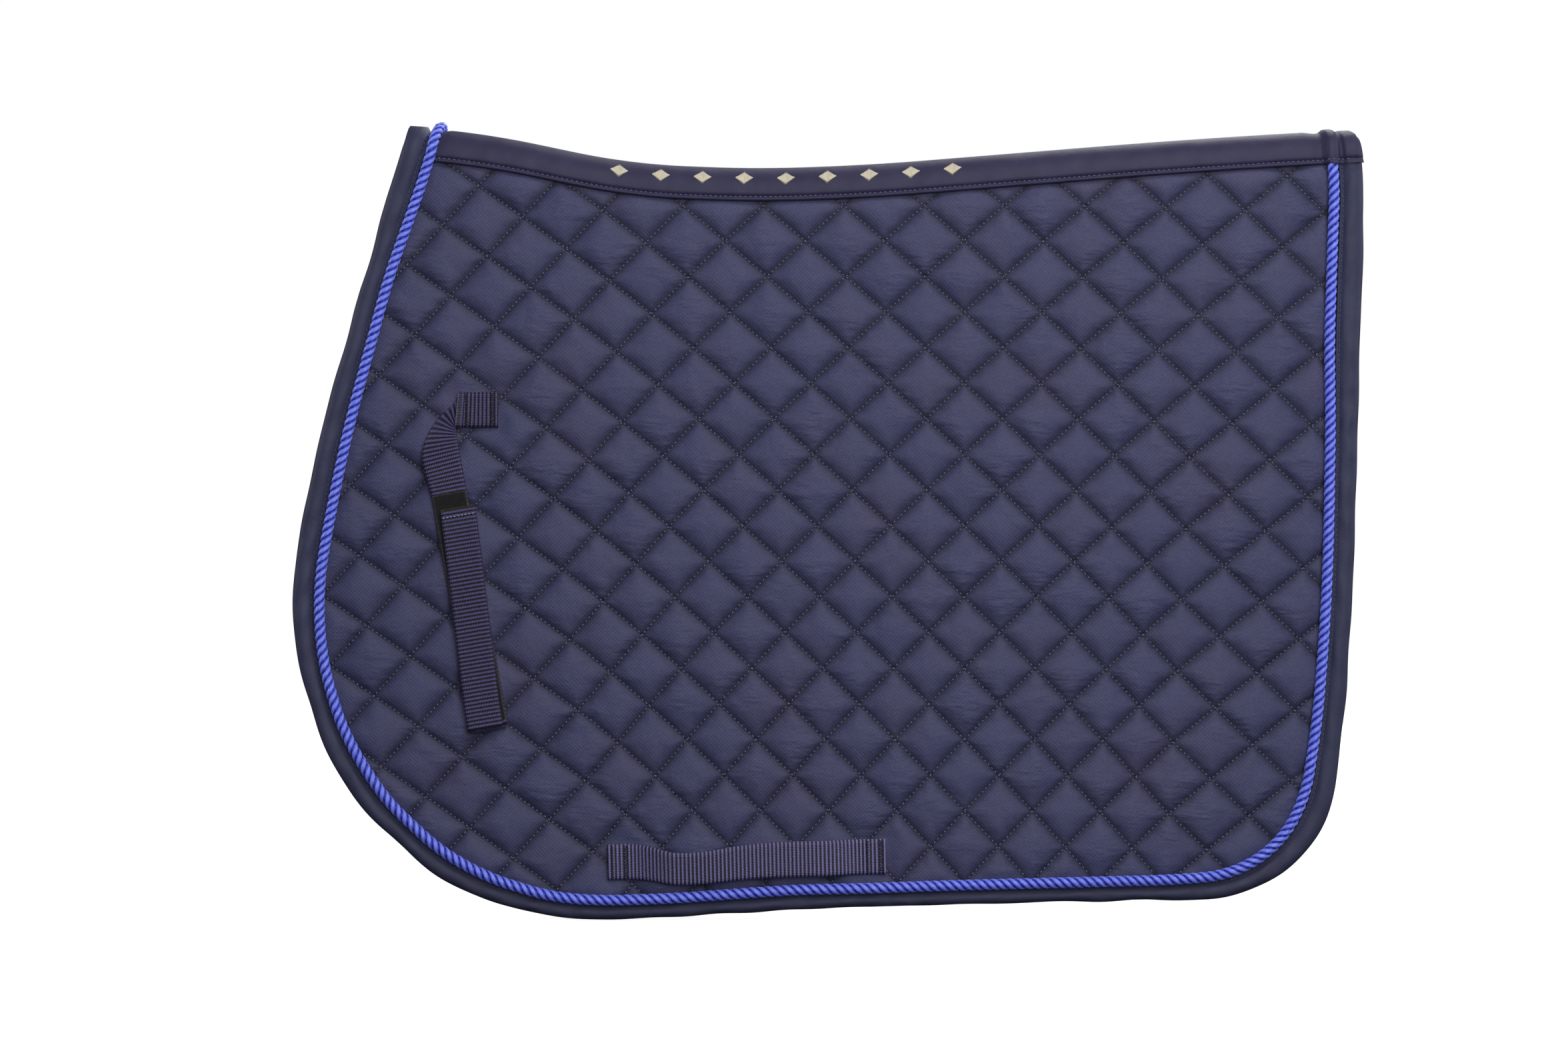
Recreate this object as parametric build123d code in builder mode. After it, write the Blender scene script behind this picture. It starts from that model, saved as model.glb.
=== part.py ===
"""Quilted saddle pad, folded along its contoured spine and hanging with both halves upright.

X runs to the horse's rear, -Y is the horse's left side and Z is up. The origin is on the underside of the
fold, half way along the pad, where a rail or the horse's back carries it. Side views are drawn in X and in
height below the top line, the level of the spine's ends, and lie SEAT_DROP above the origin.
"""

import os
from math import cos, radians, sin, tan

from build123d import *

# Panel: two halves, each a lining, a wadding and a quilted cover, with room between them for the back.
GAP = 16.0
PANEL = 12.0
CLOTH = 1.2
INNER = GAP / 2
OUTER = INNER + PANEL
RIDGE_ROUND = 8.0
SEAT_DROP = 39.4
ABOVE = 60.0  # the outline runs this far over the top line, and is cut off by the spine
BELOW = 620.0  # reaches from the spine to below the lowest edge

# Trim: binding, rope and spine band.
BINDING_WIDTH = 13.2
ROPE_RADIUS = 4.0
ROPE_INSET = 17.5
ROPE_TURN = RIDGE_ROUND + ROPE_RADIUS
FRONT_ARC_SHARE = 0.5  # the rope's run up to the fold is shorter than the outline's
BAND_START = 23.6  # along the level, from the front edge: the band starts just behind the rope
BAND_WIDTH = 24.5
TAPE_WIDTH = 20.0

# Stitching stands a hair proud of the cloth that it holds.
STITCH_WIDTH = 0.5
STITCH_PROUD = 0.15
BINDING_STITCH_INSET = 11.5
BAND_STITCH_DROP = 21.5
QUILT_SPACING = 37.4
QUILT_SLOPE = 42.0
QUILT_CENTRE = (-17.6, -79.7)
QUILT_ROWS = 16  # on each side of the centre
LONG = 2000.0  # longer than any stitch line

# Webbing: 25 mm wide, for the billet strap and the girth loop.
WEB_WIDTH = 25.0
WEB = 2.0
SEWN_LEVEL = OUTER + 2 * STITCH_PROUD
BILLET_CORNER = (-262.4, -210.8)
BILLET_LEAN = 10.0
BILLET_LENGTH = 212.0
TAB_LENGTH = 29.7
FLAP_START = 59.0
LOOP_TAPE = (46.0, 208.0)
HOOK_TAPE = (57.5, 110.0)
LOOP_TAPE_THICK = 1.4
HOOK_TAPE_THICK = 1.2
CLEAR = 0.3
TACK_WIDTH = 3.0
TACK_PROUD = 0.4
TACK_SHORT = 2.0  # a row of tacks is this much shorter than the webbing is wide
TAB_TACKS = (0.26, 0.86)  # shares of the tab's length
GIRTH_TACKS = (0.2, 0.8)  # shares of the loop's sewn ends
GIRTH_START = (-155.6, -528.5)
GIRTH_LENGTH = 195.0
GIRTH_TILT = 1.4
GIRTH_END = 16.0
GIRTH_RAMP = 25.0
GIRTH_GAP = 8.0

# Outline of one half seen from the side, from above the front corner round to above the rear corner.
OUTLINE = [
    (-275.5, ABOVE),
    (-310.0, -49.0),
    (-361.5, -230.0),
    (-381.5, -347.0),
    (-348.0, -460.5),
    (-267.0, -535.0),
    (-184.0, -558.0),
    (23.0, -545.5),
    (345.0, -539.5),
    (365.0, -373.0),
    (376.0, ABOVE),
]
REAR_CORNER = 8
REAR_CORNER_RADIUS = 95.0
ARC_SHARE = 0.45

# For picking faces and edges: the least upward part of a top face's normal, and the same place in mm.
UPWARD = 0.9
SAME = 0.01

# Top line of the spine, from ahead of the front edge to behind the rear edge.
SPINE = [
    (-400.0, 5.0),
    (-262.0, 1.0),
    (-140.0, -24.5),
    (-50.0, -28.0),
    (30.0, -25.0),
    (260.0, -6.5),
    (420.0, 2.5),
]


def arc_radii(points):
    """The radius at each inner point whose arc takes ARC_SHARE of the shorter run beside it."""
    radii = []
    for before, here, after in zip(points, points[1:], points[2:]):
        back, ahead = Vector(*here) - Vector(*before), Vector(*after) - Vector(*here)
        turn = radians(back.get_angle(ahead))
        radii.append(ARC_SHARE * min(back.length, ahead.length) / tan(turn / 2))
    return radii


def inset_points(points, inset):
    """The points of the line parallel to an anticlockwise outline, moved to its inner side."""
    moved = []
    runs = [(Vector(*b) - Vector(*a)).normalized() for a, b in zip(points, points[1:])]
    sides = [Vector(-run.Y, run.X) for run in runs]
    moved.append(Vector(*points[0]) + sides[0] * inset)
    for here, one, other in zip(points[1:], sides, sides[1:]):
        moved.append(Vector(*here) + (one + other) * (inset / (1 + one.dot(other))))
    moved.append(Vector(*points[-1]) + sides[-1] * inset)
    return moved


def outline_radii():
    """The radii of the outline's arcs."""
    radii = arc_radii(OUTLINE)
    radii[REAR_CORNER - 1] = REAR_CORNER_RADIUS
    return radii


def half_face(inset, spine_drop, open_top=False):
    """One half seen from the side, inset from its edge and below the spine line moved down by spine_drop."""
    points = inset_points(OUTLINE, inset)
    radii = [radius - inset for radius in outline_radii()]
    with BuildSketch() as sketch:
        with BuildLine():
            edge = FilletPolyline(*points, radius=radii)
            Line(edge @ 1, edge @ 0)
        make_face()
        if not open_top:
            add(under_spine(spine_drop), mode=Mode.INTERSECT)
    return sketch.sketch


def under_spine(spine_drop, depth=BELOW):
    """The strip from the spine line, moved down by spine_drop, to depth below it."""
    points = [Vector(x, z - spine_drop) for x, z in SPINE]
    lower = [point - Vector(0, depth) for point in points]
    with BuildSketch() as sketch:
        with BuildLine():
            top = FilletPolyline(*points, radius=arc_radii(SPINE))
            under = FilletPolyline(*lower, radius=arc_radii(SPINE))
            Line(top @ 0, under @ 0)
            Line(top @ 1, under @ 1)
        make_face()
    return sketch.sketch


def spine_height(x):
    """The height of the spine line's straight runs at x."""
    for (x0, z0), (x1, z1) in zip(SPINE, SPINE[1:]):
        if x0 <= x <= x1:
            return z0 + (z1 - z0) * (x - x0) / (x1 - x0)
    raise ValueError(f"the spine line doesn't reach {x}")


def on_run(start, end, z):
    """The point at height z on the straight line through two points."""
    share = (z - start.Y) / (end.Y - start.Y)
    return start + (end - start) * share


def side_plane(distance):
    """The left side's upright plane at a distance from the middle, looking outwards."""
    return Plane((0, -distance, SEAT_DROP), x_dir=(1, 0, 0), z_dir=(0, -1, 0))


def slab(face, low, high):
    """A side-view face made solid between two distances from the middle, on the left."""
    with BuildPart() as part:
        with BuildSketch(side_plane(low)):
            add(face)
        extrude(amount=high - low)
    return part.part


def ridge_block(face, low, high, radius):
    """A slab whose long top edges at its outer faces are rounded along the spine."""
    with BuildPart() as part:
        with BuildSketch(side_plane(low)):
            add(face)
        extrude(amount=high - low)
        levels = [-distance for distance in (low, high) if distance]
        top = part.faces().filter_by(lambda face: face.normal_at().Z > UPWARD)
        for level in levels:
            rims = [
                edge
                for edge in top.edges()
                if all(abs((edge @ share).Y - level) < SAME for share in (0, 0.5, 1))
            ]
            fillet(rims, radius=radius)
    return part.part


def save(piece, name):
    """Writes a finished piece under its name."""
    piece.label = name
    export_step(piece, f"parts/{name}.step")


def save_pair(piece, name):
    """Writes the left piece, and its mirror image as the right one."""
    save(piece, name + "_left")
    save(mirror(piece, about=Plane.XZ), name + "_right")


os.makedirs("parts", exist_ok=True)

# Blocks shared by the layers: each runs from the middle of the fold out to one layer's face.
whole = ridge_block(half_face(CLOTH, 0), 0, OUTER, RIDGE_ROUND)
core = ridge_block(half_face(CLOTH, CLOTH), 0, OUTER - CLOTH, RIDGE_ROUND - CLOTH)
inner = slab(half_face(CLOTH, PANEL - CLOTH), 0, INNER + CLOTH)
room = slab(half_face(-CLOTH, PANEL), 0, INNER)

with BuildPart() as outer_cover:
    add(whole)
    add(core, mode=Mode.SUBTRACT)
save_pair(outer_cover.part, "outer_cover")

with BuildPart() as wadding:
    add(core)
    add(inner, mode=Mode.SUBTRACT)
save_pair(wadding.part, "wadding")

with BuildPart() as lining:
    add(inner)
    add(room, mode=Mode.SUBTRACT)
save_pair(lining.part, "lining")

# Spine band over the fold, and the tape that covers the seam inside it. Both cross the middle.
with BuildSketch() as band_face:
    add(half_face(0, -CLOTH))
    add(under_spine(-CLOTH, BAND_WIDTH + CLOTH), mode=Mode.INTERSECT)
    with BuildLine():
        Polyline(
            (OUTLINE[0][0] + BAND_START, ABOVE),
            (OUTLINE[1][0] + BAND_START, OUTLINE[1][1]),
            (SPINE[-1][0], OUTLINE[1][1]),
            (SPINE[-1][0], ABOVE),
            close=True,
        )
    make_face(mode=Mode.INTERSECT)
under_band = ridge_block(half_face(-CLOTH, 0), -OUTER, OUTER, RIDGE_ROUND)
with BuildPart() as spine_band:
    add(ridge_block(band_face.sketch, -OUTER - CLOTH, OUTER + CLOTH, RIDGE_ROUND + CLOTH))
    add(under_band, mode=Mode.SUBTRACT)
save(spine_band.part, "spine_band")

with BuildSketch() as tape_face:
    add(half_face(BINDING_WIDTH + CLEAR, PANEL))
    add(under_spine(PANEL, TAPE_WIDTH), mode=Mode.INTERSECT)
with BuildPart() as inner_spine_tape:
    add(slab(tape_face.sketch, -INNER, INNER))
    add(slab(half_face(0, PANEL + CLOTH), CLOTH - INNER, INNER - CLOTH), mode=Mode.SUBTRACT)
save(inner_spine_tape.part, "inner_spine_tape")

# Edge binding: a channel of cloth round the front, bottom and rear edges.
with BuildPart() as edge_binding:
    add(ridge_block(half_face(0, -CLOTH), 0, OUTER + CLOTH, RIDGE_ROUND + CLOTH))
    add(slab(half_face(-CLOTH, PANEL + CLOTH), 0, INNER - CLOTH), mode=Mode.SUBTRACT)
    add(slab(half_face(BINDING_WIDTH, 0, open_top=True), 0, OUTER + PANEL), mode=Mode.SUBTRACT)
    add(whole - room, mode=Mode.SUBTRACT)
    add(spine_band.part, mode=Mode.SUBTRACT)
save_pair(edge_binding.part, "edge_binding")

# Rope trim: up from under the band's rear end, round the edge and over the fold at the front.
rope_points = inset_points(OUTLINE, ROPE_INSET)
rope_radii = [radius - ROPE_INSET for radius in outline_radii()]
rope_radii[0] *= FRONT_ARC_SHARE
rope_level = -(OUTER + ROPE_RADIUS)
crest_z = spine_height(rope_points[0].X) + ROPE_RADIUS
rope_front = on_run(rope_points[0], rope_points[1], crest_z)
rope_rear_z = spine_height(rope_points[-1].X) - BAND_WIDTH - CLOTH
rope_rear = on_run(rope_points[-2], rope_points[-1], rope_rear_z)
on_side = [rope_front, *rope_points[1:-1], rope_rear]
rope_route = [Vector(rope_front.X, 0, crest_z + SEAT_DROP)]
rope_route += [Vector(point.X, rope_level, point.Y + SEAT_DROP) for point in on_side]
with BuildPart() as rope_trim:
    with BuildLine() as rope_path:
        FilletPolyline(*rope_route, radius=[ROPE_TURN, *rope_radii])
    with BuildSketch(Plane(rope_path.wires()[0] @ 0, z_dir=rope_path.wires()[0] % 0)):
        Circle(ROPE_RADIUS)
    sweep(path=rope_path.wires()[0])
save_pair(rope_trim.part, "rope_trim")

# Quilting: two families of parallel stitch lines, one lying on the other where they cross.
with BuildSketch() as quilted_area:
    add(half_face(ROPE_INSET + ROPE_RADIUS + CLEAR, BAND_WIDTH + CLEAR))
quilt_families = (
    ("quilting_thread", QUILT_SLOPE, 0.0),
    ("cross_quilting_thread", -QUILT_SLOPE, STITCH_PROUD),
)
for name, turn, above in quilt_families:
    normal = Vector(-sin(radians(turn)), cos(radians(turn)))
    with BuildSketch() as stitch_lines:
        for step in range(-QUILT_ROWS, QUILT_ROWS + 1):
            middle = Vector(*QUILT_CENTRE) + normal * (step * QUILT_SPACING)
            with Locations(Location((middle.X, middle.Y, 0), (0, 0, turn))):
                Rectangle(LONG, STITCH_WIDTH)
        add(quilted_area.sketch, mode=Mode.INTERSECT)
    level = OUTER + above
    save_pair(slab(stitch_lines.sketch, level, level + STITCH_PROUD), name)


def stitch_ring(inset):
    """A narrow line of stitching that follows the edge at an inset."""
    with BuildSketch() as sketch:
        add(half_face(inset, BAND_WIDTH + CLEAR))
        add(half_face(inset + STITCH_WIDTH, 0, open_top=True), mode=Mode.SUBTRACT)
    return sketch.sketch


trim_face = OUTER + CLOTH
ring = stitch_ring(BINDING_STITCH_INSET)
save_pair(slab(ring, trim_face, trim_face + STITCH_PROUD), "binding_thread")
with BuildSketch() as band_line:
    add(under_spine(BAND_STITCH_DROP, STITCH_WIDTH))
    add(band_face.sketch, mode=Mode.INTERSECT)
save_pair(slab(band_line.sketch, trim_face, trim_face + STITCH_PROUD), "band_thread")

# Billet strap. Its own directions run down the strap and across it towards the front, from its tab's corner.
corner = Vector(*BILLET_CORNER)
down = Vector(sin(radians(BILLET_LEAN)), -cos(radians(BILLET_LEAN)))
across = Vector(-cos(radians(BILLET_LEAN)), -sin(radians(BILLET_LEAN)))


def strap_face(start, end):
    """A rectangle along the billet strap between two distances from its corner."""
    near, far = corner, corner + across * WEB_WIDTH
    with BuildSketch() as sketch:
        with BuildLine():
            Polyline(
                near + down * start,
                near + down * end,
                far + down * end,
                far + down * start,
                close=True,
            )
        make_face()
    return sketch.sketch


with BuildSketch() as tab_face:
    with Locations((corner.X + TAB_LENGTH / 2, corner.Y + WEB_WIDTH / 2)):
        Rectangle(TAB_LENGTH, WEB_WIDTH)
    with BuildLine():
        fold = CenterArc((corner.X, corner.Y), WEB_WIDTH, 90, 90 + BILLET_LEAN)
        Line((corner.X, corner.Y), fold @ 0)
        Line((corner.X, corner.Y), fold @ 1)
    make_face()
tab_top = SEWN_LEVEL + WEB
save_pair(slab(tab_face.sketch, SEWN_LEVEL, tab_top), "billet_tab")
strap_level = SEWN_LEVEL + CLEAR
loop_level = strap_level + WEB
flap_level = loop_level + LOOP_TAPE_THICK + CLEAR
web_level = flap_level + HOOK_TAPE_THICK
save_pair(slab(strap_face(CLEAR, BILLET_LENGTH), strap_level, loop_level), "billet_strap")
save_pair(slab(strap_face(*LOOP_TAPE), loop_level, loop_level + LOOP_TAPE_THICK), "loop_tape")
save_pair(slab(strap_face(*HOOK_TAPE), flap_level, web_level), "hook_tape")
save_pair(slab(strap_face(FLAP_START, BILLET_LENGTH), web_level, web_level + WEB), "billet_flap")
with BuildSketch() as tack_face:
    for share in TAB_TACKS:
        with Locations((corner.X + share * TAB_LENGTH, corner.Y + WEB_WIDTH / 2)):
            Rectangle(TACK_WIDTH, WEB_WIDTH - TACK_SHORT)
save_pair(slab(tack_face.sketch, tab_top, tab_top + TACK_PROUD), "billet_tacks")

# Girth loop: sewn down at both ends and standing off the pad between them.
girth_plane = Plane(
    (GIRTH_START[0], -SEWN_LEVEL, GIRTH_START[1] + SEAT_DROP), x_dir=(1, 0, 0), z_dir=(0, 0, 1)
).rotated((0, -GIRTH_TILT, 0))
stand_off = [
    (0, 0),
    (GIRTH_END, 0),
    (GIRTH_END + GIRTH_RAMP, -GIRTH_GAP),
    (GIRTH_LENGTH - GIRTH_END - GIRTH_RAMP, -GIRTH_GAP),
    (GIRTH_LENGTH - GIRTH_END, 0),
    (GIRTH_LENGTH, 0),
]
with BuildPart() as girth_loop:
    with BuildSketch(girth_plane):
        with BuildLine():
            Polyline(*stand_off, *[(x, y - WEB) for x, y in reversed(stand_off)], close=True)
        make_face()
    extrude(amount=WEB_WIDTH)
save_pair(girth_loop.part, "girth_loop")
with BuildPart() as girth_tacks:
    with BuildSketch(girth_plane):
        for share in GIRTH_TACKS:
            for end in (share * GIRTH_END, GIRTH_LENGTH - share * GIRTH_END):
                with Locations((end, -WEB - TACK_PROUD / 2)):
                    Rectangle(TACK_WIDTH, TACK_PROUD)
    extrude(amount=WEB_WIDTH)
save_pair(girth_tacks.part, "girth_tacks")
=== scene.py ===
import math
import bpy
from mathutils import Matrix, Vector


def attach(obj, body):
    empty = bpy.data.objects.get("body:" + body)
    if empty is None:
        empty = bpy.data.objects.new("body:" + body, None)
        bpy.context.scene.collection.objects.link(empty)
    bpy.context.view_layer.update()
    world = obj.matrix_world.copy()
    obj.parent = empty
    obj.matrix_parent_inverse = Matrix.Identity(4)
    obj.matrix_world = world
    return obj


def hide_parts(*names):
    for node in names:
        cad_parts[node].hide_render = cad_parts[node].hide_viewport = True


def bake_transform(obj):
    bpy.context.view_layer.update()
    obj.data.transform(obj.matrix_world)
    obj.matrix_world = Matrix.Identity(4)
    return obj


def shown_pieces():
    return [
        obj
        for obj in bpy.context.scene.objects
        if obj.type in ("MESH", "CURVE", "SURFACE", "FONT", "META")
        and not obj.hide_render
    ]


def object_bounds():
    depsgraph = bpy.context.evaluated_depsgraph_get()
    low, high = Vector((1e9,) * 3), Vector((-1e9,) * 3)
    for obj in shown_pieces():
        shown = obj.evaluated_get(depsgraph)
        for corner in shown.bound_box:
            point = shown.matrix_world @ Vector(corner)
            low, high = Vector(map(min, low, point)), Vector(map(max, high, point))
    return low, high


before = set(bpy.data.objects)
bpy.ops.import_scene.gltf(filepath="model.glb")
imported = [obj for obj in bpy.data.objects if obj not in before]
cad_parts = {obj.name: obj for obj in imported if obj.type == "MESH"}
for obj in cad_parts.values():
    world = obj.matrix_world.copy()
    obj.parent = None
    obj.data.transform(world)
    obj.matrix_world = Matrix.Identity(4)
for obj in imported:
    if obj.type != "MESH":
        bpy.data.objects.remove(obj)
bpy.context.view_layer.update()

from types import SimpleNamespace

import bmesh
import bpy
import numpy as np
from mathutils import Vector
from mathutils.kdtree import KDTree

# Lengths are in millimetres until a mesh is made. A point on one half is given by x, by its height h over
# the level of the spine's ends, so that most heights are negative, and by n, how far it lies outside the
# quilted layers' middle. In the frame that level is at z = SEAT_DROP. The layers' middle hangs at MIDDLE
# from the plane between the halves, and from RIDGE below the top line it bends over in an arc, which is
# CREST_RISE longer than RIDGE.
MM = 0.001
UV_SIZE = 100.0
PREFIX = "pad_"
SEAT_DROP, RIDGE, MIDDLE = 39.4, 20.0, 14.0
CREST_RISE = MIDDLE * math.pi / 2 - RIDGE
# The quilted layers end under the band, this far below the top line, so the band alone turns when the
# halves open.
LAYER_TOP = 13.0
SIDES = {"left": -1, "right": 1}

# The edge's runs, from above the crest at the front, round the bottom, to above the crest at the rear.
OUTLINE = [
    (-275.5, 60), (-310, -49), (-361.5, -230), (-381.5, -347), (-348, -460.5), (-267, -535),
    (-184, -558), (23, -545.5), (345, -539.5), (365, -373), (375, -26), (357, 42),
]
REAR_CORNER, REAR_CORNER_RADIUS = 8, 95.0
EDGE_STEP = 1.5
SPINE = [(-400, 5), (-262, 1), (-140, -24.5), (-50, -28), (30, -25), (260, -6.5), (420, 2.5)]

ROPE_INSET = 17.5
# The trim was sewn on by hand and eye: how much further in than ROPE_INSET the rope lies, at distances
# along the edge from the front of the crest. The binding's width follows the rope.
TRIM_SHIFT = [
    (0, 2.2), (105, 2.2), (170, -1.2), (250, 0), (320, 1), (410, 0.6), (480, -1), (535, 0.7),
    (590, -1.6), (650, -1.3), (720, -3.8), (750, -3.4), (800, -5), (895, -3.5), (935, -4.6), (1150, -3.8),
    (1185, -1.8), (1225, 0.3), (1290, 3.2), (1345, 0.9), (1490, 0.7), (1560, 1.6), (1620, 4), (1700, 3.6),
    (1743, 3), (1775, 0.6), (1850, 0),
]

# Quilting: the diamonds' size and the crossing that they are counted from.
ROW_PITCH, COLUMN_PITCH = 50.0, 55.9
CROSSING = (-17.6, -79.7)
QUILT_SPACING = 37.4
CELL_STEPS = 12


def smooth(t):
    """0 below 0, 1 above 1 and an S-curve between."""
    t = np.clip(t, 0, 1)
    return t * t * (3 - 2 * t)


def unit(vectors):
    """Rows of vectors, each made one long."""
    return vectors / np.linalg.norm(vectors, axis=1)[:, None]


def distance_along(line):
    """How far along a line each of its points lies."""
    return np.r_[0, np.cumsum(np.linalg.norm(np.diff(line, axis=0), axis=1))]


def points_at(distance, along, line):
    """A line's points at given distances, by the distances of its own points."""
    return np.stack([np.interp(distance, along, values) for values in line.T], 1)


def rounded(points, special=None, step=2.0):
    """Points along runs joined by tangent arcs, each taking 0.45 of the shorter run beside it."""
    points = [np.array(p, float) for p in points]
    line = [points[0]]
    for i in range(1, len(points) - 1):
        back, ahead = points[i - 1] - points[i], points[i + 1] - points[i]
        lengths = np.linalg.norm(back), np.linalg.norm(ahead)
        back, ahead = back / lengths[0], ahead / lengths[1]
        half_turn = (math.pi - math.acos(back @ ahead)) / 2
        radius = 0.45 * min(lengths) / math.tan(half_turn)
        if special and i in special:
            radius = special[i]
        towards = (back + ahead) / np.linalg.norm(back + ahead)
        centre = points[i] + towards * radius / math.cos(half_turn)
        first = points[i] + back * radius * math.tan(half_turn) - centre
        last = points[i] + ahead * radius * math.tan(half_turn) - centre
        steps = max(2, int(radius * 2 * half_turn / step))
        for k in range(steps + 1):
            arm = first * (1 - k / steps) + last * (k / steps)
            line.append(centre + arm * radius / np.linalg.norm(arm))
    line.append(points[-1])
    return resample(np.array(line), step)


def resample(line, step):
    """The same line with points an even step apart."""
    along = distance_along(line)
    count = max(2, int(round(along[-1] / step)) + 1)
    return points_at(np.linspace(0, along[-1], count), along, line)


SPINE_LINE = rounded(SPINE)
EDGE = rounded(OUTLINE, {REAR_CORNER: REAR_CORNER_RADIUS}, EDGE_STEP)


def inner_normals(line):
    """The unit normals on the inner side of an anticlockwise line."""
    run = unit(np.gradient(line, axis=0))
    return np.stack([-run[:, 1], run[:, 0]], 1)


EDGE_IN = inner_normals(EDGE)
SHIFT = np.interp(np.arange(len(EDGE)) * EDGE_STEP, *np.array(TRIM_SHIFT, float).T)
SHIFT = np.convolve(np.pad(SHIFT, 12, mode="edge"), np.ones(25) / 25, "valid")


def inset_from(nearest, inset):
    """Points inset from edge points, following the trim's own wandering."""
    real = inset + SHIFT[nearest] * np.clip(inset / ROPE_INSET, -1, 1)
    return EDGE[nearest] + EDGE_IN[nearest] * np.broadcast_to(real, np.shape(nearest))[..., None]


def spine_height(x):
    return np.interp(x, SPINE_LINE[:, 0], SPINE_LINE[:, 1])


EDGE_TREE = KDTree(len(EDGE))
for number, (x, h) in enumerate(EDGE.tolist()):
    EDGE_TREE.insert((x, h, 0), number)
EDGE_TREE.balance()


def edge_distance(x, h):
    """How far points lie inside the edge, and the nearest edge point's number; negative outside."""
    points = np.stack([np.ravel(x), np.ravel(h)], 1)
    nearest = np.array([EDGE_TREE.find((a, b, 0))[1] for a, b in points.tolist()])
    away = ((points - EDGE[nearest]) * EDGE_IN[nearest]).sum(1)
    away = np.maximum(away - SHIFT[nearest], np.minimum(away / (1 + SHIFT[nearest] / ROPE_INSET), ROPE_INSET))
    return away.reshape(np.shape(x)), nearest.reshape(np.shape(x))


def drape(x, depth, side):
    """How far a hanging half swings out of its flat plane at a place."""
    hang = np.clip((depth - 15) / 545, 0, 1)
    phase = 0.4 if side < 0 else 2.3
    wave = 3.2 * np.sin(x / 118 + phase) + 1.4 * np.sin(x / 57 + 2 * phase)
    return hang**1.4 * (wave + 3.5) + 1.2 * np.sin(depth / 95 + phase) * hang


def place(x, h, n, side):
    """Points of one half, in metres in the row frame."""
    x, h, n = np.broadcast_arrays(np.asarray(x, float), h, n)
    top = spine_height(x)
    bend = np.clip((h - top + RIDGE) / MIDDLE, 0, math.pi / 2)
    y = (MIDDLE + n) * np.cos(bend) + drape(x, top - h, side) * (bend <= 0)
    z = np.minimum(h, top - RIDGE) + (MIDDLE + n) * np.sin(bend)
    return np.stack([x, side * y, z + SEAT_DROP], -1) * MM


def row_rise(x):
    """How far the quilting's rows lie above their level in the middle."""
    ahead, behind = np.maximum(-80 - x, 0), np.maximum(x - 110, 0)
    rise = -0.13 * (ahead - 100 * (1 - np.exp(-ahead / 100)))
    return rise - 0.035 * (behind - 100 * (1 - np.exp(-behind / 100)))


def quilt_point(p, q):
    """The place in x and h where stitch lines number p and q cross."""
    column, row = (p + q) / 2, (p - q) / 2
    x0 = CROSSING[0] + column * COLUMN_PITCH
    lean = np.clip(-0.00037 * (x0 - 94), -0.06, 0.11)
    x = x0 + lean * row * ROW_PITCH
    return x, CROSSING[1] - row * ROW_PITCH + row_rise(x)


def dome(p, q):
    """1 in the middle of each diamond and 0 along its stitching."""
    return np.abs(np.sin(math.pi * p) * np.sin(math.pi * q)) ** 0.5


def ripple(x, h, size, seed, waves=9):
    """A smooth pattern without direction, from -1 to 1, whose features are about size wide."""
    rng = np.random.default_rng(seed)
    total = np.zeros(np.shape(x))
    drawn = rng.uniform([[0], [0], [0.7]], [[math.pi], [2 * math.pi], [1.5]], (3, waves))
    for turn, phase, pitch in zip(*drawn):
        total += np.sin((x * math.cos(turn) + h * math.sin(turn)) * math.pi / size * pitch + phase)
    return np.clip(total / math.sqrt(waves) / 1.4, -1, 1)


def quads_between(number):
    """Quads between the neighbours in rows and columns of vertex numbers."""
    return np.stack([number[:-1, :-1], number[1:, :-1], number[1:, 1:], number[:-1, 1:]], -1).reshape(-1, 4)


def mesh_object(name, vertices, faces, uvs=None, smooth_shaded=True):
    """A mesh object from numpy arrays; faces may mix triangles and quads in lists."""
    mesh = bpy.data.meshes.new(name)
    mesh.from_pydata(np.asarray(vertices).tolist(), [], [list(map(int, f)) for f in faces])
    if uvs is not None:
        layer = mesh.uv_layers.new(name="Weave")
        loops = np.zeros(len(mesh.loops), int)
        mesh.loops.foreach_get("vertex_index", loops)
        layer.data.foreach_set("uv", np.asarray(uvs, float)[loops].ravel())
    if smooth_shaded:
        mesh.polygons.foreach_set("use_smooth", np.ones(len(mesh.polygons), bool))
    mesh.validate()
    mesh.update()
    obj = bpy.data.objects.new(PREFIX + name, mesh)
    bpy.context.scene.collection.objects.link(obj)
    return obj


def mark(piece, name, values):
    """Gives each vertex a number that the piece's material reads."""
    piece.data.attributes.new(name, "FLOAT", "POINT").data.foreach_set("value", values)


def stand_in(piece, node, body):
    """Puts a piece in the place of a CAD node, which it hides, on a body."""
    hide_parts(node)
    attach(piece, body)


def cell_steps(count):
    """Where one diamond is divided, closer together near its stitched edges."""
    k = np.arange(count) / count
    return 0.6 * k + 0.4 * (1 - np.cos(math.pi * k)) / 2


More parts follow.
